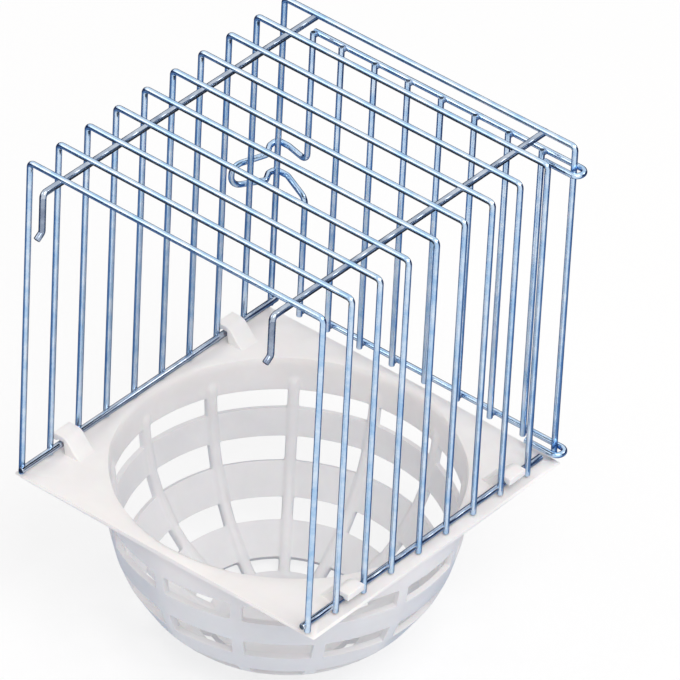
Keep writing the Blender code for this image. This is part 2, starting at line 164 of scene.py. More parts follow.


# Injection-moulded white polypropylene: a warm white with a soft satin gloss that lets a little
# light through; painted shade makes it cooler and greyer down the bowl; with faint flow clouds and
# a fine eroded grain
panPlastic = {
    "colors": ("#EFEBE9", "#F6F3F1"),
    # the bowl's colours are painted shade: greyer and cooler down the bowl
    "bowlShadeColors": ("#E0DFE0", "#E9E8E9"),
    "fade": (38.0, 55.0),  # mm, from the bowl's colour to the flange's
    "roughness": (0.36, 0.5),
    "ior": 1.49,
    "glow": 0.12,  # share of the light that spreads under the surface
    "glowDepth": 1.5 * mm,
    "clouds": 18.0,  # mm
    "cloudsRange": (0.3, 0.7),
    "grain": 0.6,  # mm, drawn coarser than the real 0.1 mm so that it shows
    "grainStrength": 0.25,
    "grainHeight": 0.04 * mm,
}


def makePlastic(name):
    material = bpy.data.materials.new(name)
    material.use_nodes = True
    tree = material.node_tree
    shader = tree.nodes["Principled BSDF"]
    shader.inputs["IOR"].default_value = panPlastic["ior"]
    shader.inputs["Subsurface Weight"].default_value = panPlastic["glow"]
    shader.inputs["Subsurface Scale"].default_value = panPlastic["glowDepth"]
    place = addNode(tree, "ShaderNodeTexCoord", {}, {})
    clouds = addNode(
        tree,
        "ShaderNodeTexNoise",
        {"Scale": 1 / (panPlastic["clouds"] * mm), "Detail": 4.0, "Roughness": 0.6},
        {"Vector": place.outputs["Object"]},
    )
    tints = []
    # the bowl's tint, faded in by height below the flange, is painted shade
    for colors in (panPlastic["bowlShadeColors"], panPlastic["colors"]):
        tint = addNode(tree, "ShaderNodeValToRGB", {}, {"Fac": clouds.outputs["Fac"]})
        for stop, position, color in zip(
            tint.color_ramp.elements, panPlastic["cloudsRange"], colors
        ):
            stop.position = position
            stop.color = toLinear(color)
        tints.append(tint.outputs["Color"])
    axes = addNode(tree, "ShaderNodeSeparateXYZ", {}, {"Vector": place.outputs["Object"]})
    low, high = panPlastic["fade"]
    fade = addNode(
        tree,
        "ShaderNodeMapRange",
        {"From Min": low * mm, "From Max": high * mm},
        {"Value": axes.outputs["Z"]},
    )
    blend = addNode(
        tree,
        "ShaderNodeMix",
        {"data_type": "RGBA"},
        {0: fade.outputs["Result"], 6: tints[0], 7: tints[1]},
    )
    tree.links.new(blend.outputs[2], shader.inputs["Base Color"])
    grain = addNode(
        tree,
        "ShaderNodeTexNoise",
        {"Scale": 1 / (panPlastic["grain"] * mm), "Detail": 2.0},
        {"Vector": place.outputs["Object"]},
    )
    gloss = addNode(
        tree,
        "ShaderNodeMapRange",
        {
            "From Min": panPlastic["cloudsRange"][0],
            "From Max": panPlastic["cloudsRange"][1],
            "To Min": panPlastic["roughness"][0],
            "To Max": panPlastic["roughness"][1],
        },
        {"Value": clouds.outputs["Fac"]},
    )
    tree.links.new(gloss.outputs["Result"], shader.inputs["Roughness"])
    relief = addNode(
        tree,
        "ShaderNodeBump",
        {"Strength": panPlastic["grainStrength"], "Distance": panPlastic["grainHeight"]},
        {"Height": grain.outputs["Fac"]},
    )
    tree.links.new(relief.outputs["Normal"], shader.inputs["Normal"])
    return material


whitePlastic = makePlastic("moulded_white_polypropylene")
print("materials made")


def startPiece():
    if bpy.context.object and bpy.context.object.mode != "OBJECT":
        bpy.ops.object.mode_set(mode="OBJECT")
    bpy.ops.object.select_all(action="DESELECT")


def pickOnly(piece):
    startPiece()
    piece.select_set(True)
    bpy.context.view_layer.objects.active = piece


# a copy with its own mesh, moved in its mesh
def copyPiece(piece, name, shift):
    pickOnly(piece)
    bpy.ops.object.duplicate(linked=False)
    copy = bpy.context.object
    copy.name = name
    bpy.ops.transform.translate(value=shift)
    bpy.ops.object.transform_apply(location=True, rotation=True, scale=True)
    return copy


def standFor(piece, node, body):
    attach(piece, body)
    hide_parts(node)


wireMaking = {
    "sides": 20,
    "bendStep": 11,  # degrees
    "bendRoom": 0.49,  # most of a straight that one bend may take
    "endRound": 0.22 * mm,
    "smooth": 40,  # degrees
}
# where each finish stands in a wire's list of materials; the last is the painted shade on the
# hooks' drops
finishPlaces = {"wire": 0, "cut": 1, "weld": 2, "hookShade": 3}


# a round of wire at the first corner, pulled along the straights and spun round the bends
def bendWire(name, corners, bends, diameter, finish):
    corners = [Vector(corner) for corner in corners]
    startPiece()
    along = corners[1] - corners[0]
    bpy.ops.mesh.primitive_circle_add(
        vertices=wireMaking["sides"],
        radius=diameter / 2,
        fill_type="NGON",
        location=corners[0],
        rotation=along.to_track_quat("Z", "Y").to_euler(),
    )
    wire = bpy.context.object
    wire.name = name
    bpy.ops.object.transform_apply(location=True, rotation=True, scale=True)
    bpy.ops.object.mode_set(mode="EDIT")
    bpy.ops.mesh.select_mode(type="FACE")
    bpy.ops.mesh.select_all(action="SELECT")
    here = corners[0]
    for before, corner, after, bend in zip(corners, corners[1:], corners[2:], bends):
        back = before - corner
        ahead = after - corner
        turn = math.pi - back.angle(ahead)
        room = wireMaking["bendRoom"] * min(back.length, ahead.length)
        tangent = min(bend * math.tan(turn / 2), room)
        bend = tangent / math.tan(turn / 2)
        back.normalize()
        ahead.normalize()
        bpy.ops.mesh.extrude_region_move(
            TRANSFORM_OT_translate={"value": corner + back * tangent - here}
        )
        bpy.ops.mesh.spin(
            steps=max(3, math.ceil(math.degrees(turn) / wireMaking["bendStep"])),
            angle=turn,
            center=corner + (back + ahead).normalized() * (bend / math.cos(turn / 2)),
            axis=back.cross(ahead).normalized(),
        )
        here = corner + ahead * tangent
    bpy.ops.mesh.extrude_region_move(TRANSFORM_OT_translate={"value": corners[-1] - here})
    bpy.ops.mesh.select_all(action="SELECT")
    bpy.ops.mesh.normals_make_consistent(inside=False)
    bpy.ops.mesh.select_all(action="DESELECT")
    shape = bmesh.from_edit_mesh(wire.data)
    for face in shape.faces:
        face.select_set(len(face.verts) == wireMaking["sides"])  # the two sheared ends
    bpy.ops.mesh.region_to_loop()
    bpy.ops.mesh.bevel(offset=wireMaking["endRound"], segments=2, affect="EDGES")
    wire.data.materials.append(finish)
    wire.data.materials.append(cutSteel)
    wire.data.materials.append(weldZinc)
    for face in bmesh.from_edit_mesh(wire.data).faces:
        isEnd = len(face.verts) == wireMaking["sides"]
        face.material_index = finishPlaces["cut" if isEnd else "wire"]
    bpy.ops.object.mode_set(mode="OBJECT")
    bpy.ops.object.shade_smooth_by_angle(angle=math.radians(wireMaking["smooth"]))
    return wire


spotWeld = {"radius": 1.0 * mm, "flat": 0.6, "segments": 14, "rings": 8}


# flattened beads of weld metal between crossing wires, melted onto one of the two
def weldOnto(wire, spots, pressed):
    beads = []
    for spot in spots:
        startPiece()
        bpy.ops.mesh.primitive_uv_sphere_add(
            segments=spotWeld["segments"],
            ring_count=spotWeld["rings"],
            radius=spotWeld["radius"],
            location=spot,
        )
        bead = bpy.context.object
        bpy.ops.object.transform_apply(location=True, rotation=True, scale=True)
        bpy.ops.object.mode_set(mode="EDIT")
        bpy.ops.transform.resize(
            value=[spotWeld["flat"] if axis == pressed else 1.0 for axis in "XYZ"],
            center_override=spot,
        )
        bpy.ops.object.mode_set(mode="OBJECT")
        beads.append(bead)
    startPiece()
    for bead in beads:
        bead.select_set(True)
    bpy.context.view_layer.objects.active = beads[0]
    bpy.ops.object.join()
    beads = bpy.context.object
    for material in wire.data.materials:
        beads.data.materials.append(material)
    for face in beads.data.polygons:
        face.material_index = finishPlaces["weld"]
    pickOnly(wire)
    melt = wire.modifiers.new("melt", "BOOLEAN")
    melt.operation = "UNION"
    melt.solver = "EXACT"
    melt.object = beads
    bpy.ops.object.modifier_apply(modifier=melt.name)
    bpy.data.objects.remove(beads)
    bpy.ops.object.shade_smooth_by_angle(angle=math.radians(wireMaking["smooth"]))


# ten bent hoops, the first at the open front
hoop = {
    "halfWidth": 52.25 * mm,
    "foot": 56.8 * mm,
    "top": 163.9 * mm,
    "firstY": -54 * mm,
    "pitch": 12 * mm,
    "count": 10,
    "wire": 1.8 * mm,
    "bend": 1.4 * mm,
}
firstHoop = bendWire(
    "hoop_wire_01",
    [
        (-hoop["halfWidth"], hoop["firstY"], hoop["foot"]),
        (-hoop["halfWidth"], hoop["firstY"], hoop["top"]),
        (hoop["halfWidth"], hoop["firstY"], hoop["top"]),
        (hoop["halfWidth"], hoop["firstY"], hoop["foot"]),
    ],
    [hoop["bend"], hoop["bend"]],
    hoop["wire"],
    brightZinc,
)
hoopYs = [hoop["firstY"] + number * hoop["pitch"] for number in range(hoop["count"])]
hoopWires = [firstHoop]
for number in range(2, hoop["count"] + 1):
    shift = (0, (number - 1) * hoop["pitch"], 0)
    hoopWires.append(copyPiece(firstHoop, f"hoop_wire_{number:02d}", shift))
for number, wire in enumerate(hoopWires, 1):
    standFor(wire, f"hoop_{number:02d}", "cage")
print("hoops bent:", len(hoopWires))

# two long wires welded into the undersides of the hoops, each ending in a hook at the front
hookWire = {
    "x": 40.85 * mm,
    "z": 163 * mm,
    "rearY": 55.5 * mm,
    "hookY": -61.6 * mm,
    "tipZ": 150.1 * mm,
    "kick": (2.2 * mm, 1.6 * mm),
    "wire": 2 * mm,
    "bends": (1.4 * mm, 1.2 * mm),
    "weldZ": 163.5 * mm,
    "hookShadeZ": 161.8 * mm,  # below this is the hook's drop
}
for side, x in (("left", -hookWire["x"]), ("right", hookWire["x"])):
    kickOut, kickDrop = hookWire["kick"]
    wire = bendWire(
        f"hook_wire_{side}",
        [
            (x, hookWire["rearY"], hookWire["z"]),
            (x, hookWire["hookY"], hookWire["z"]),
            (x, hookWire["hookY"], hookWire["tipZ"]),
            (x, hookWire["hookY"] - kickOut, hookWire["tipZ"] - kickDrop),
        ],
        hookWire["bends"],
        hookWire["wire"],
        shadedLongZinc,
    )
    weldOnto(wire, [(x, y, hookWire["weldZ"]) for y in hoopYs], "Z")
    # the hook's drop, below its set height, is painted darker and duller as shade
    wire.data.materials.append(hookShadeZinc)
    for face in wire.data.polygons:
        if face.center.z < hookWire["hookShadeZ"] and face.material_index == finishPlaces["wire"]:
            face.material_index = finishPlaces["hookShade"]
    standFor(wire, f"{side}_hook_wire", "cage")
print("hook wires bent")

# two straight rails welded into the legs' feet, the right one stops short of the door's hinge loop
bottomRail = {
    "x": 51.35 * mm,
    "z": 58.8 * mm,
    "frontY": -55.5 * mm,
    "rearY": {"left": 55.5 * mm, "right": 49.1 * mm},
    "wire": 2 * mm,
    "weldX": 51.85 * mm,
}
for side, sign in (("left", -1), ("right", 1)):
    rearY = bottomRail["rearY"][side]
    wire = bendWire(
        f"bottom_rail_{side}_wire",
        [
            (sign * bottomRail["x"], bottomRail["frontY"], bottomRail["z"]),
            (sign * bottomRail["x"], rearY, bottomRail["z"]),
        ],
        [],
        bottomRail["wire"],
        shadedLongZinc,
    )
    spots = [(sign * bottomRail["weldX"], y, bottomRail["z"]) for y in hoopYs if y < rearY]
    weldOnto(wire, spots, "X")
    standFor(wire, f"{side}_bottom_rail", "cage")
print("rails made")

# rear door: two cross wires with hinge loops, seven plain bars and the latch bar
rearDoor = {
    "crossY": 56.2 * mm,
    "barY": 54.2 * mm,
    "weldY": 55.2 * mm,
    "topZ": 156.1 * mm,
    "bottomZ": 59.2 * mm,
    "tip": 1.2 * mm,
    "latchX": -41.65 * mm,
    "secondX": -31.25 * mm,
    "pitch": 12 * mm,
    "bars": 7,
    "loopX": 55.25 * mm,
    "tailY": 51.8 * mm,
    "tailX": 43.55 * mm,
    "loopBend": 2.2 * mm,
    "wire": 1.8 * mm,
}
barXs = [rearDoor["secondX"] + number * rearDoor["pitch"] for number in range(rearDoor["bars"])]
for level in ("top", "bottom"):
    z = rearDoor[level + "Z"]
    wire = bendWire(
        f"door_cross_wire_{level}",
        [
            (rearDoor["latchX"] - rearDoor["tip"], rearDoor["crossY"], z),
            (rearDoor["loopX"], rearDoor["crossY"], z),
            (rearDoor["loopX"], rearDoor["tailY"], z),
            (rearDoor["tailX"], rearDoor["tailY"], z),
        ],
        [rearDoor["loopBend"], rearDoor["loopBend"]],
        rearDoor["wire"],
        brightZinc,
    )
    weldOnto(wire, [(x, rearDoor["weldY"], z) for x in [rearDoor["latchX"], *barXs]], "Y")
    standFor(wire, f"door_{level}_wire", "door")
firstBar = bendWire(
    "door_bar_wire_2",
    [
        (barXs[0], rearDoor["barY"], rearDoor["bottomZ"] - rearDoor["tip"]),
        (barXs[0], rearDoor["barY"], rearDoor["topZ"] + rearDoor["tip"]),
    ],
    [],
    rearDoor["wire"],
    brightZinc,
)
doorBars = [firstBar]
for number in range(1, rearDoor["bars"]):
    shift = (number * rearDoor["pitch"], 0, 0)
    doorBars.append(copyPiece(firstBar, f"door_bar_wire_{number + 2}", shift))
for number, wire in enumerate(doorBars, 2):
    standFor(wire, f"door_bar_{number}", "door")
print("door bars made:", len(doorBars))

# the latch bar runs out sideways as a hairpin, round the corner post to a finger loop
latch = {
    "middleZ": 107.65 * mm,
    "sag": 1.5 * mm,
    "spread": 13.2 * mm,
    "cornerHeight": 10.3 * mm,
    "loopHeight": 7 * mm,
    "places": (  # x and y of an arm, in millimetres
        (-50.05, 56.2),
        (-54.45, 56.2),
        (-54.45, 53.0),
        (-52.45, 49.5),
        (-57.05, 39.5),
    ),
    "bends": (2.6 * mm, 2.6 * mm, 2.2 * mm, 1.2 * mm, 1.2 * mm, 3.4 * mm),
}


def latchArm(side):
    firstY = latch["places"][0][1]
    lastY = latch["places"][-1][1]
    corners = []
    for x, y in latch["places"]:
        share = (firstY - y) / (firstY - lastY)
        height = latch["cornerHeight"] + share * (latch["loopHeight"] - latch["cornerHeight"])
        corners.append((x * mm, y * mm, latch["middleZ"] + side * height / 2))
    barZ = latch["middleZ"] - latch["sag"] + side * latch["spread"] / 2
    return [(rearDoor["latchX"], rearDoor["barY"], barZ), *corners]


latchWire = bendWire(
    "door_latch_bar",
    [
        (rearDoor["latchX"], rearDoor["barY"], rearDoor["topZ"] + rearDoor["tip"]),
        *latchArm(1),
        *reversed(latchArm(-1)),
        (rearDoor["latchX"], rearDoor["barY"], rearDoor["bottomZ"] - rearDoor["tip"]),
    ],
    [*latch["bends"], *reversed(latch["bends"])],
    rearDoor["wire"],
    brightZinc,
)
standFor(latchWire, "door_latch_wire", "door")
print("latch bent")


# basket pan: a round bowl with four rows of holes between thirteen ribs, under a square flange
nestPan = {
    "boreRadius": 50.3 * mm,
    "depth": 56.5 * mm,
    "wall": 1.8 * mm,
    "floorRadius": 19 * mm,
    "floorRings": (3 * mm, 9 * mm),  # inside the floor's edge, and round its middle
    "fullness": 2.34,  # 2 is an ellipse, more is fuller
    "samples": 800,  # along the wall's curve
    "ribs": 13,
    "ribTurn": 17.1,  # degrees
    "ribProud": 0.9 * mm,
    "ribFoot": 1.7 * mm,
    "ribCrown": 1.0 * mm,
    "ribShoulder": 0.82,  # of the rib's height, beside its crown
    "holeCorner": 0.85 * mm,
    "rimRows": (3.2, 5.2),  # mm down the wall from the rim, as the next two
    "ribTop": (7.0, 7.9),
    "holes": ((11.1, 17.15), (25.85, 33.19), (43.59, 50.14), (61.34, 66.0)),
    "flangeStart": 60 * mm,
    "flangeHalf": (54.85 * mm, 54.3 * mm),
    "flangeCorner": 0.6 * mm,
    "flangeSpread": 4,  # corner radii from a corner to the plain columns' nearest
    "flangeEdge": 1.4 * mm,
    "flangeRoot": 1.1 * mm,
    "crease": 0.45,
    "smooth": 45,  # degrees
}


# radius and height on the outside of the bowl, by millimetres down the inner wall from the rim
def bowlStations(downs):
    bore = nestPan["boreRadius"]
    power = 2 / nestPan["fullness"]
    floorTurn = math.acos((nestPan["floorRadius"] / bore) ** (1 / power))
    semiDepth = (nestPan["depth"] - nestPan["wall"]) / math.sin(floorTurn) ** power
    wall = []
    for step in range(nestPan["samples"] + 1):
        turn = floorTurn * step / nestPan["samples"]
        radius = bore * math.cos(turn) ** power
        wall.append(Vector((radius, nestPan["depth"] - semiDepth * math.sin(turn) ** power)))
    lengths = [0.0]
    for above, below in zip(wall, wall[1:]):
        lengths.append(lengths[-1] + (below - above).length)
    stations = []
    for down in downs:
        step = min(range(1, nestPan["samples"]), key=lambda i: abs(lengths[i] - down * mm))
        along = (wall[step + 1] - wall[step - 1]).normalized()
        stations.append(wall[step] + Vector((-along.y, along.x)) * nestPan["wall"])
    along = (wall[-1] - wall[-2]).normalized()
    mitre = nestPan["wall"] * (1 + along.x) / -along.y
    return stations, nestPan["floorRadius"] + mitre


# where each column of faces stands round the bowl: the rib, its flanks, the holes' corners
def columnTurns(radius):
    pitch = math.tau / nestPan["ribs"]
    crown = nestPan["ribCrown"] / radius
    foot = nestPan["ribFoot"] / radius
    corner = foot + nestPan["holeCorner"] / radius
    third = (pitch - 2 * corner) / 3
    offsets = [0, crown, foot, corner, corner + third, corner + 2 * third]
    offsets += [pitch - corner, pitch - foot, pitch - crown]
    first = math.radians(nestPan["ribTurn"])
    return [first + rib * pitch + offset for rib in range(nestPan["ribs"]) for offset in offsets]


# the flange's square outline, with five columns drawn together at each corner
def flangeOutline():
    halfX, halfY = nestPan["flangeHalf"]
    corner = nestPan["flangeCorner"]
    turns = columnTurns(nestPan["boreRadius"])
    points = []
    for turn in turns:
        along = Vector((math.cos(turn), math.sin(turn)))
        points.append(along * min(halfX / max(abs(along.x), 1e-9), halfY / max(abs(along.y), 1e-9)))
    for signX, signY in ((1, 1), (-1, 1), (-1, -1), (1, -1)):
        tip = Vector((signX * halfX, signY * halfY))
        alongX = Vector((-signX, 0))
        alongY = Vector((0, -signY))
        cut = corner * (1 - math.sqrt(0.5))
        spots = [
            tip + alongY * corner * nestPan["flangeSpread"],
            tip + alongY * corner,
            tip + (alongX + alongY) * cut,
            tip + alongX * corner,
            tip + alongX * corner * nestPan["flangeSpread"],
        ]
        if signX != signY:
            spots.reverse()
        tipTurn = math.atan2(tip.y, tip.x)
        nearest = min(range(len(turns)), key=lambda i: -math.cos(turns[i] - tipTurn))
        for step, spot in enumerate(spots):
            points[(nearest + step - len(spots) // 2) % len(turns)] = spot
    return points


def makePan():
    downs = [*nestPan["rimRows"], *nestPan["ribTop"]]
    holeTops = []
    inset = nestPan["holeCorner"] / mm
    for top, bottom in nestPan["holes"]:
        holeTops.append(len(downs) + 1)
        downs += [top - inset, top, top + inset, bottom - inset, bottom, bottom + inset]
    stations, floorEdge = bowlStations(downs)
    underside = nestPan["depth"] - nestPan["wall"]
    rim = nestPan["boreRadius"] + nestPan["wall"]
    radii = (nestPan["flangeStart"], rim + nestPan["flangeRoot"], rim)
    rings = [Vector((radius, underside)) for radius in radii]
    ribTop = downs.index(nestPan["ribTop"][-1])
    ribRows = range(len(rings) + ribTop, len(rings) + len(downs))
    holeRows = [len(rings) + top + row for top in holeTops for row in range(3)]
    rings += stations
    inset, middle = nestPan["floorRings"]
    rings += [Vector((radius, 0)) for radius in (floorEdge, floorEdge - inset, middle)]
    columns = len(columnTurns(rim))
    perRib = columns // nestPan["ribs"]
    feet = (2, perRib - 2)  # the columns at the feet of two neighbouring ribs

    # the outside is drawn down from the flange, ring by ring
    startPiece()
    bpy.ops.mesh.primitive_circle_add(
        vertices=columns, radius=rings[0].x, fill_type="NOTHING", location=(0, 0, rings[0].y)
    )
    pan = bpy.context.object
    pan.name = "pan_moulding"
    bpy.ops.object.transform_apply(location=True, rotation=True, scale=True)
    bpy.ops.object.mode_set(mode="EDIT")
    bpy.ops.mesh.select_mode(type="EDGE")
    bpy.ops.mesh.select_all(action="SELECT")
    for above, below in zip(rings, rings[1:]):
        bpy.ops.mesh.extrude_region_move(
            TRANSFORM_OT_translate={"value": (0, 0, below.y - above.y)}
        )
        share = below.x / above.x
        bpy.ops.transform.resize(value=(share, share, 1), center_override=(0, 0, below.y))
    bpy.ops.mesh.edge_face_add()

    # columns slide round to the ribs, and the faces between them are left out as holes
    shape = bmesh.from_edit_mesh(pan.data)
    outline = flangeOutline()
    place = {}
    for vert in shape.verts:
        radius = vert.co.xy.length
        ring = min(
            range(len(rings)), key=lambda i: abs(rings[i].x - radius) + abs(rings[i].y - vert.co.z)
        )
        column = round(math.atan2(vert.co.y, vert.co.x) / math.tau * columns) % columns
        place[vert] = (ring, column)
    for vert, (ring, column) in place.items():
        if ring == 0:
            vert.co.xy = outline[column]
        else:
            turn = columnTurns(rings[ring].x)[column]
            vert.co.xy = rings[ring].x * Vector((math.cos(turn), math.sin(turn)))
    bpy.ops.mesh.select_all(action="DESELECT")
    for face in shape.faces:
        if len(face.verts) != 4:
            continue
        row = min(place[vert][0] for vert in face.verts)
        spans = sorted(place[vert][1] % perRib for vert in face.verts)
        face.select_set(row in holeRows and spans[0] >= feet[0] and spans[-1] <= feet[1])
    bpy.ops.mesh.delete(type="FACE")
    bpy.ops.mesh.select_all(action="SELECT")
    bpy.ops.mesh.normals_make_consistent(inside=False)
    bpy.ops.object.mode_set(mode="OBJECT")
    floor = max(pan.data.polygons, key=lambda face: len(face.vertices))
    if floor.normal.z > 0:
        pan.data.flip_normals()

    # wall thickness by weight: flange edge, plain wall, rib crown
    ribs = pan.vertex_groups.new(name="thickness")
    full = nestPan["wall"] + nestPan["ribProud"]
    edge = nestPan["flangeEdge"]
    plain = (nestPan["wall"] - edge) / (full - edge)
    flangeFrom = (rim + nestPan["flangeRoot"] + min(nestPan["flangeHalf"])) / 2
    for vert in pan.data.vertices:
        radius = vert.co.xy.length
        weight = plain
        ring = min(
            range(1, len(rings)),
            key=lambda i: abs(rings[i].x - radius) + abs(rings[i].y - vert.co.z),
        )
        if vert.co.z > underside - 1e-6 and radius > flangeFrom:
            weight = 0.0
        elif ring in ribRows:
            turn = math.atan2(vert.co.y, vert.co.x) - math.radians(nestPan["ribTurn"])
            off = abs(math.remainder(turn, math.tau / nestPan["ribs"])) * radius
            if off < nestPan["ribCrown"] / 2:
                weight = 1.0
            elif off < (nestPan["ribCrown"] + nestPan["ribFoot"]) / 2:
                weight = plain + (1 - plain) * nestPan["ribShoulder"]
        ribs.add([vert.index], weight, "REPLACE")
    pickOnly(pan)
    wall = pan.modifiers.new("wall", "SOLIDIFY")
    wall.thickness = full
    wall.offset = -1.0
    wall.use_even_offset = True
    wall.vertex_group = ribs.name
    wall.thickness_vertex_group = edge / full
    wall.edge_crease_inner = nestPan["crease"]
    wall.edge_crease_outer = nestPan["crease"]
    bpy.ops.object.modifier_apply(modifier=wall.name)
    soften = pan.modifiers.new("soften", "SUBSURF")
    soften.levels = 1
    soften.render_levels = 1
    bpy.ops.object.modifier_apply(modifier=soften.name)
    return pan


panMoulding = makePan()
print("pan drawn:", len(panMoulding.data.polygons), "faces")

# four tongues of the pan that hook over the rails, drawn from the side and pulled to their width
tongue = {
    "width": 7 * mm,
    "y": 35.4 * mm,
    "round": 0.4 * mm,
    "roundSteps": 3,
    "roundFrom": 35,  # degrees
    "ramp": (43.85, 50.6),  # mm, where the top climbs from the flange
    "rise": (56.5, 61.7),  # mm
    "stations": (  # mm from the middle, and the height of the underside
        (43.85, 55.4),
        (44.7, 55.4),
        (45.6, 55.4),
        (46.5, 55.4),
        (47.4, 55.4),
        (48.3, 55.4),
        (49.2, 55.4),
        (50.05, 60.1),
        (50.8, 60.1),
        (51.5, 60.1),
        (52.2, 60.1),
        (52.75, 59.5),
        (54.05, 59.5),
    ),
}


def tongueTop(x):
    start, end = tongue["ramp"]
    share = min(1.0, max(0.0, (x - start) / (end - start)))
    low, high = tongue["rise"]
    return low + (high - low) * share * share * (3 - 2 * share)


def makeTongue(name):
    startPiece()
    stations = tongue["stations"]
    bpy.ops.mesh.primitive_plane_add(size=1 * mm, rotation=(math.radians(90), 0, 0))
    piece = bpy.context.object
    piece.name = name
    bpy.ops.object.transform_apply(location=True, rotation=True, scale=True)
    bpy.ops.object.mode_set(mode="EDIT")
    shape = bmesh.from_edit_mesh(piece.data)
    for vert in shape.verts:  # the plane becomes the first slice of the tongue's side
        x, under = stations[0 if vert.co.x < 0 else 1]
        top = tongueTop(x)
        z = under if vert.co.z < 0 else top
        vert.co = (x * mm, tongue["y"] - tongue["width"] / 2, z * mm)
    for (x, under), (nextX, nextUnder) in zip(stations[1:], stations[2:]):
        bpy.ops.mesh.select_all(action="DESELECT")
        bpy.ops.mesh.select_mode(type="EDGE")
        for edge in shape.edges:
            edge.select_set(all(abs(vert.co.x - x * mm) < 1e-6 for vert in edge.verts))
        bpy.ops.mesh.extrude_region_move(
            TRANSFORM_OT_translate={"value": ((nextX - x) * mm, 0, 0)}
        )
        shape = bmesh.from_edit_mesh(piece.data)
        middle = sum(vert.co.z for vert in shape.verts if vert.select) / 2
        for vert in shape.verts:
            if vert.select:
                vert.co.z = (nextUnder if vert.co.z < middle else tongueTop(nextX)) * mm
    bpy.ops.mesh.select_all(action="SELECT")
    bpy.ops.mesh.extrude_region_move(TRANSFORM_OT_translate={"value": (0, tongue["width"], 0)})
    bpy.ops.mesh.select_all(action="SELECT")
    bpy.ops.mesh.normals_make_consistent(inside=False)
    bpy.ops.object.mode_set(mode="OBJECT")
    soft = piece.modifiers.new("soft", "BEVEL")
    soft.width = tongue["round"]
    soft.segments = tongue["roundSteps"]
    soft.limit_method = "ANGLE"
    soft.angle_limit = math.radians(tongue["roundFrom"])
    bpy.ops.object.modifier_apply(modifier=soft.name)
    return piece


tongues = [makeTongue("tongue_1")]
tongues.append(copyPiece(tongues[0], "tongue_2", (0, -2 * tongue["y"], 0)))
for piece in list(tongues):
    half = copyPiece(piece, piece.name + "_left", (0, 0, 0))
    bpy.ops.object.mode_set(mode="EDIT")
    bpy.ops.mesh.select_all(action="SELECT")
    bpy.ops.transform.rotate(value=math.pi, orient_axis="Z", center_override=(0, 0, 0))
    bpy.ops.object.mode_set(mode="OBJECT")
    tongues.append(half)
startPiece()
for piece in tongues:
    piece.select_set(True)
bpy.context.view_layer.objects.active = tongues[0]
bpy.ops.object.join()
tongues = bpy.context.object
pickOnly(panMoulding)
grow = panMoulding.modifiers.new("grow", "BOOLEAN")
grow.operation = "UNION"
grow.solver = "EXACT"
grow.object = tongues
bpy.ops.object.modifier_apply(modifier=grow.name)
bpy.data.objects.remove(tongues)
panMoulding.data.materials.clear()
panMoulding.data.materials.append(whitePlastic)
bpy.ops.object.shade_smooth_by_angle(angle=math.radians(nestPan["smooth"]))
standFor(panMoulding, "nest_pan", "pan")
print("pan finished:", len(panMoulding.data.polygons), "faces")


# plain pale floor, soft lamps
studio = {
    "floor": "#FAFAFA",
    "floorSize": 12,
    "glow": 0.72,  # how much of the floor's white is its own, the rest shows the shadow
    "bounce": "#DCE2EC",
    "sky": "#F9F7F6",
    "skyStrength": 0.7,
    "aim": (0, 0, 0.08),
    "softboxes": (  # name, place, size and power
        ("key_softbox", (1.2, -0.6, 1.8), 1.3, 22.5),
        ("fill_softbox", (-1.0, -1.1, 1.4), 0.8, 2.8),
        ("rim_softbox", (1.0, 1.3, 1.35), 0.5, 3.5),
    ),
}


# 1 where the eye sees a surface itself, in a mirror or through glass
def addSeen(tree):
    path = addNode(tree, "ShaderNodeLightPath", {}, {})
    seen = path.outputs["Is Camera Ray"]
    for kind in ("Is Glossy Ray", "Is Transmission Ray"):
        either = addNode(tree, "ShaderNodeMath", {"operation": "MAXIMUM"}, {0: seen})
        tree.links.new(path.outputs[kind], either.inputs[1])
        seen = either.outputs[0]
    return seen


startPiece()
bpy.ops.mesh.primitive_plane_add(size=studio["floorSize"], location=(0, 0, 0))
floor = bpy.context.object
floor.name = "floor"
pale = bpy.data.materials.new("pale_floor")
pale.use_nodes = True
tree = pale.node_tree
tree.nodes.remove(tree.nodes["Principled BSDF"])
shown = addNode(tree, "ShaderNodeBsdfDiffuse", {"Color": toLinear(studio["floor"])}, {})
bounced = addNode(tree, "ShaderNodeBsdfDiffuse", {"Color": toLinear(studio["bounce"])}, {})
glow = addNode(tree, "ShaderNodeEmission", {"Color": (1, 1, 1, 1), "Strength": 1.0}, {})
lit = addNode(
    tree,
    "ShaderNodeMixShader",
    {"Fac": studio["glow"]},
    {1: shown.outputs[0], 2: glow.outputs[0]},
)
either = addNode(
    tree,
    "ShaderNodeMixShader",
    {},
    {0: addSeen(tree), 1: bounced.outputs[0], 2: lit.outputs[0]},
)
tree.links.new(either.outputs[0], tree.nodes["Material Output"].inputs["Surface"])
floor.data.materials.append(pale)

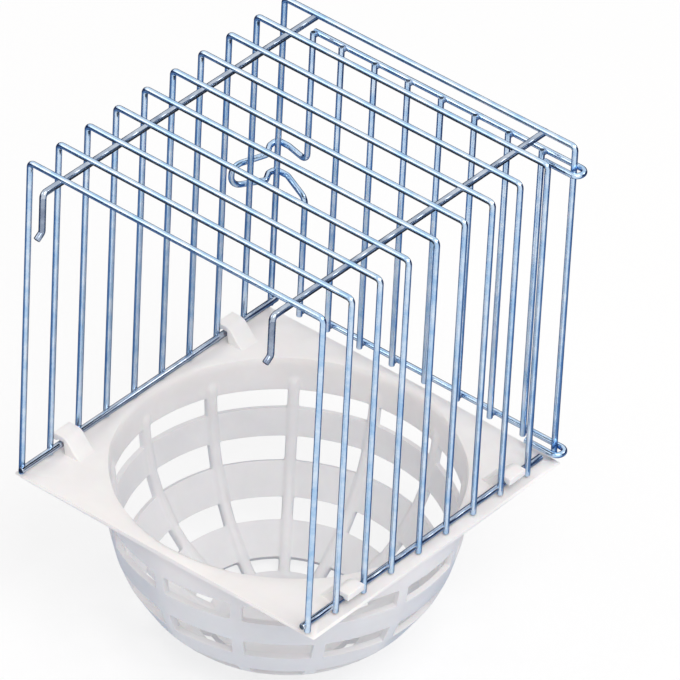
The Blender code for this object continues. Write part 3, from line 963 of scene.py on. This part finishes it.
# a dark card on the floor, turned up at its rim, that only reflections show: it draws the dark
# edges of bright wire. It is open towards the camera, where the wire mirrors the white floor, paler
# in the middle, which the legs mirror, and higher at the back right, which the long wires mirror
flag = {
    "radius": 1.2,
    "sides": 72,
    "rimFrom": 0.9,  # of the radius or of the wall's height
    "height": 0.4 * mm,
    "wall": 0.42,
    "tallWall": 0.36,
    "tallWay": (0.75, 0.66),
    "tallTurn": 40,  # degrees either side of that way
    "gap": 62,  # degrees either side of the camera
    "colors": ("#5F82AA", "#162E58"),
    "pale": (0.2, 0.42),  # from the middle, where the colour fades to the dark one
    "sheetSize": (98 * mm, 102 * mm),
    "sheetPlace": (0, -3 * mm, 159 * mm),
    "sheetColor": "#0C1424",
}
startPiece()
bpy.ops.mesh.primitive_circle_add(
    vertices=flag["sides"],
    radius=flag["radius"],
    fill_type="TRIFAN",
    location=(0, 0, flag["height"]),
)
card = bpy.context.object
card.name = "dark_card"
bpy.ops.object.mode_set(mode="EDIT")
bpy.ops.mesh.select_mode(type="FACE")
bpy.ops.mesh.select_all(action="DESELECT")
towards = Vector(photoCamera["place"]).xy
for face in bmesh.from_edit_mesh(card.data).faces:
    face.select_set(face.calc_center_median().xy.angle(towards) < math.radians(flag["gap"]))
bpy.ops.mesh.delete(type="FACE")
bpy.ops.mesh.select_mode(type="EDGE")
for edge in bmesh.from_edit_mesh(card.data).edges:
    edge.select_set(
        all(vert.co.xy.length > flag["rimFrom"] * flag["radius"] for vert in edge.verts)
    )
bpy.ops.mesh.extrude_region_move(TRANSFORM_OT_translate={"value": (0, 0, flag["wall"])})
bpy.ops.mesh.select_all(action="DESELECT")
for edge in bmesh.from_edit_mesh(card.data).edges:
    rim = all(vert.co.z > flag["rimFrom"] * flag["wall"] for vert in edge.verts)
    middle = (edge.verts[0].co + edge.verts[1].co).xy
    edge.select_set(rim and middle.angle(Vector(flag["tallWay"])) < math.radians(flag["tallTurn"]))
bpy.ops.mesh.extrude_region_move(TRANSFORM_OT_translate={"value": (0, 0, flag["tallWall"])})
bpy.ops.object.mode_set(mode="OBJECT")
darkCard = bpy.data.materials.new("dark_card")
darkCard.use_nodes = True
tree = darkCard.node_tree
place = addNode(tree, "ShaderNodeTexCoord", {}, {})
out = addNode(tree, "ShaderNodeVectorMath", {"operation": "LENGTH"}, {0: place.outputs["Object"]})
fade = addNode(
    tree,
    "ShaderNodeMapRange",
    {"From Min": flag["pale"][0], "From Max": flag["pale"][1]},
    {"Value": out.outputs["Value"]},
)
tint = addNode(tree, "ShaderNodeValToRGB", {}, {"Fac": fade.outputs["Result"]})
tint.color_ramp.elements[0].color = toLinear(flag["colors"][0])
tint.color_ramp.elements[1].color = toLinear(flag["colors"][1])
tree.links.new(tint.outputs["Color"], tree.nodes["Principled BSDF"].inputs["Base Color"])
card.data.materials.append(darkCard)
# a black sheet close under the top wires darkens their undersides in the same way
startPiece()
bpy.ops.mesh.primitive_plane_add(size=1, location=flag["sheetPlace"])
sheet = bpy.context.object
sheet.name = "black_sheet"
bpy.ops.object.mode_set(mode="EDIT")
bpy.ops.mesh.select_all(action="SELECT")
bpy.ops.transform.resize(value=(*flag["sheetSize"], 1))
bpy.ops.object.mode_set(mode="OBJECT")
blackSheet = bpy.data.materials.new("black_sheet")
blackSheet.use_nodes = True
shader = blackSheet.node_tree.nodes["Principled BSDF"]
shader.inputs["Base Color"].default_value = toLinear(flag["sheetColor"])
sheet.data.materials.append(blackSheet)
for hidden in (card, sheet):
    hidden.visible_camera = False
    hidden.visible_diffuse = False
    hidden.visible_transmission = False
    hidden.visible_shadow = False

world = bpy.data.worlds.new("studio")
bpy.context.scene.world = world
world.use_nodes = True
tree = world.node_tree
light = tree.nodes["Background"]
light.inputs["Color"].default_value = toLinear(studio["sky"])
light.inputs["Strength"].default_value = studio["skyStrength"]
white = addNode(tree, "ShaderNodeBackground", {"Color": (1, 1, 1, 1), "Strength": 1.0}, {})
either = addNode(
    tree,
    "ShaderNodeMixShader",
    {},
    {0: addSeen(tree), 1: light.outputs[0], 2: white.outputs[0]},
)
tree.links.new(either.outputs[0], tree.nodes["World Output"].inputs["Surface"])

for name, place, width, power in studio["softboxes"]:
    startPiece()
    bpy.ops.object.light_add(type="AREA", location=place)
    lamp = bpy.context.object
    lamp.name = name
    lamp.data.size = width
    lamp.data.energy = power
    way = Vector(studio["aim"]) - Vector(place)
    lamp.rotation_euler = way.to_track_quat("-Z", "Y").to_euler()
print("studio set")
